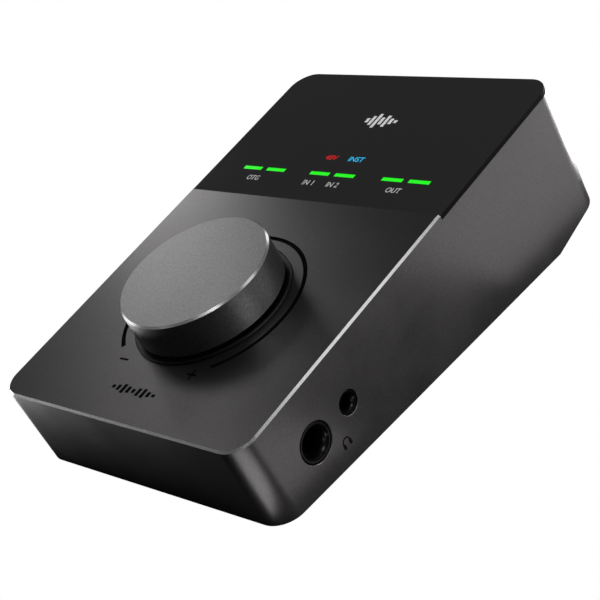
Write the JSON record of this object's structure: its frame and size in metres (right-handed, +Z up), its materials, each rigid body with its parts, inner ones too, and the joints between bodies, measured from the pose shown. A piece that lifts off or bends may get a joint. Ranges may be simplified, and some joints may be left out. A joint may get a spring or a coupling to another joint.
{
  "type": "audio interface",
  "caption": "Desktop audio interface: sloping metal housing, push-and-turn knob, black display panel with level bars, side headphone sockets and rear line connectors.",
  "frame": {"origin": "on the table under the middle of the bounding box", "axes": "+X to the user's right, +Y to the rear connector panel, +Z up; the top face slopes up towards +Y by 8.19 degrees"},
  "size_m": [0.1, 0.1537, 0.0502],
  "materials": {
    "housing_metal": "fine bead-blasted dark grey anodise",
    "knob_metal": "bead-blasted grey anodise with a bright turned bevel",
    "gloss_black": "polished black",
    "black_plastic": "matte moulded",
    "tray_paint": "matte black paint",
    "rubber": "matte",
    "steel": "plated",
    "brass": "plain",
    "board_green": "solder mask",
    "pale_plastic": "moulded",
    "can_metal": "plain",
    "light_green": "clear, lit from behind",
    "light_red": "clear, lit from behind",
    "light_blue": "clear, lit from behind",
    "red_plastic": "moulded",
    "label_film": "printed film"
  },
  "bodies": {
    "chassis": {"housing": "housing_metal", "cover_panel": "gloss_black", "light_bars": "light_green", "legend_pipe_red": "light_red", "legend_pipe_blue": "light_blue", "light_shroud": "black_plastic", "indicator_leds": "pale_plastic", "knob_ring": "black_plastic", "base_tray": "tray_paint", "base_screws": "steel", "feet": "rubber", "rating_label": "label_film", "main_board": "board_green", "board_screws": "steel", "encoder_body": "black_plastic", "encoder_bushing": "steel", "encoder_washer": "steel", "encoder_nut": "steel", "phones_jack": "black_plastic", "phones_sleeve": "steel", "small_jack": "black_plastic", "small_sleeve": "steel", "rear_jacks": "black_plastic", "rear_sleeves": "steel", "combo_socket": "black_plastic", "combo_contacts": "brass", "combo_screws": "steel", "usb_ports": "steel", "usb_tongues": "black_plastic", "io_board": "board_green", "spacers": "brass", "spacer_screws": "steel", "switch_bodies": "black_plastic", "link_sockets": "pale_plastic", "link_cable": "pale_plastic", "main_chips": "black_plastic", "capacitors": "can_metal", "crystal": "can_metal", "inductors": "black_plastic", "shield_can": "can_metal"},
    "button_48v_body": {"button_48v": "red_plastic"},
    "button_inst_body": {"button_inst": "black_plastic"},
    "press_rod": {"encoder_plunger": "pale_plastic"},
    "knob_body": {"encoder_shaft": "steel", "knob_insert": "black_plastic", "knob_cap": "knob_metal"}
  },
  "joints": [
    {"name": "knob_press", "type": "slide", "parent": "chassis", "child": "press_rod", "axis": [0, 0.1425, -0.9898], "range_m": [0, 0.0005], "stiffness_N_per_m": 6000, "springref_m": -0.0003},
    {"name": "knob_turn", "type": "hinge", "parent": "press_rod", "child": "knob_body", "pos_m": [0, -0.03196, 0.03469], "axis": [0, -0.1425, 0.9898], "continuous": true},
    {"name": "button_48v_press", "type": "slide", "parent": "chassis", "child": "button_48v_body", "axis": [0, -0.9898, -0.1425], "range_m": [0, 0.001], "stiffness_N_per_m": 400, "springref_m": -0.001},
    {"name": "button_inst_press", "type": "slide", "parent": "chassis", "child": "button_inst_body", "axis": [0, -0.9898, -0.1425], "range_m": [0, 0.001], "stiffness_N_per_m": 400, "springref_m": -0.001}
  ]
}
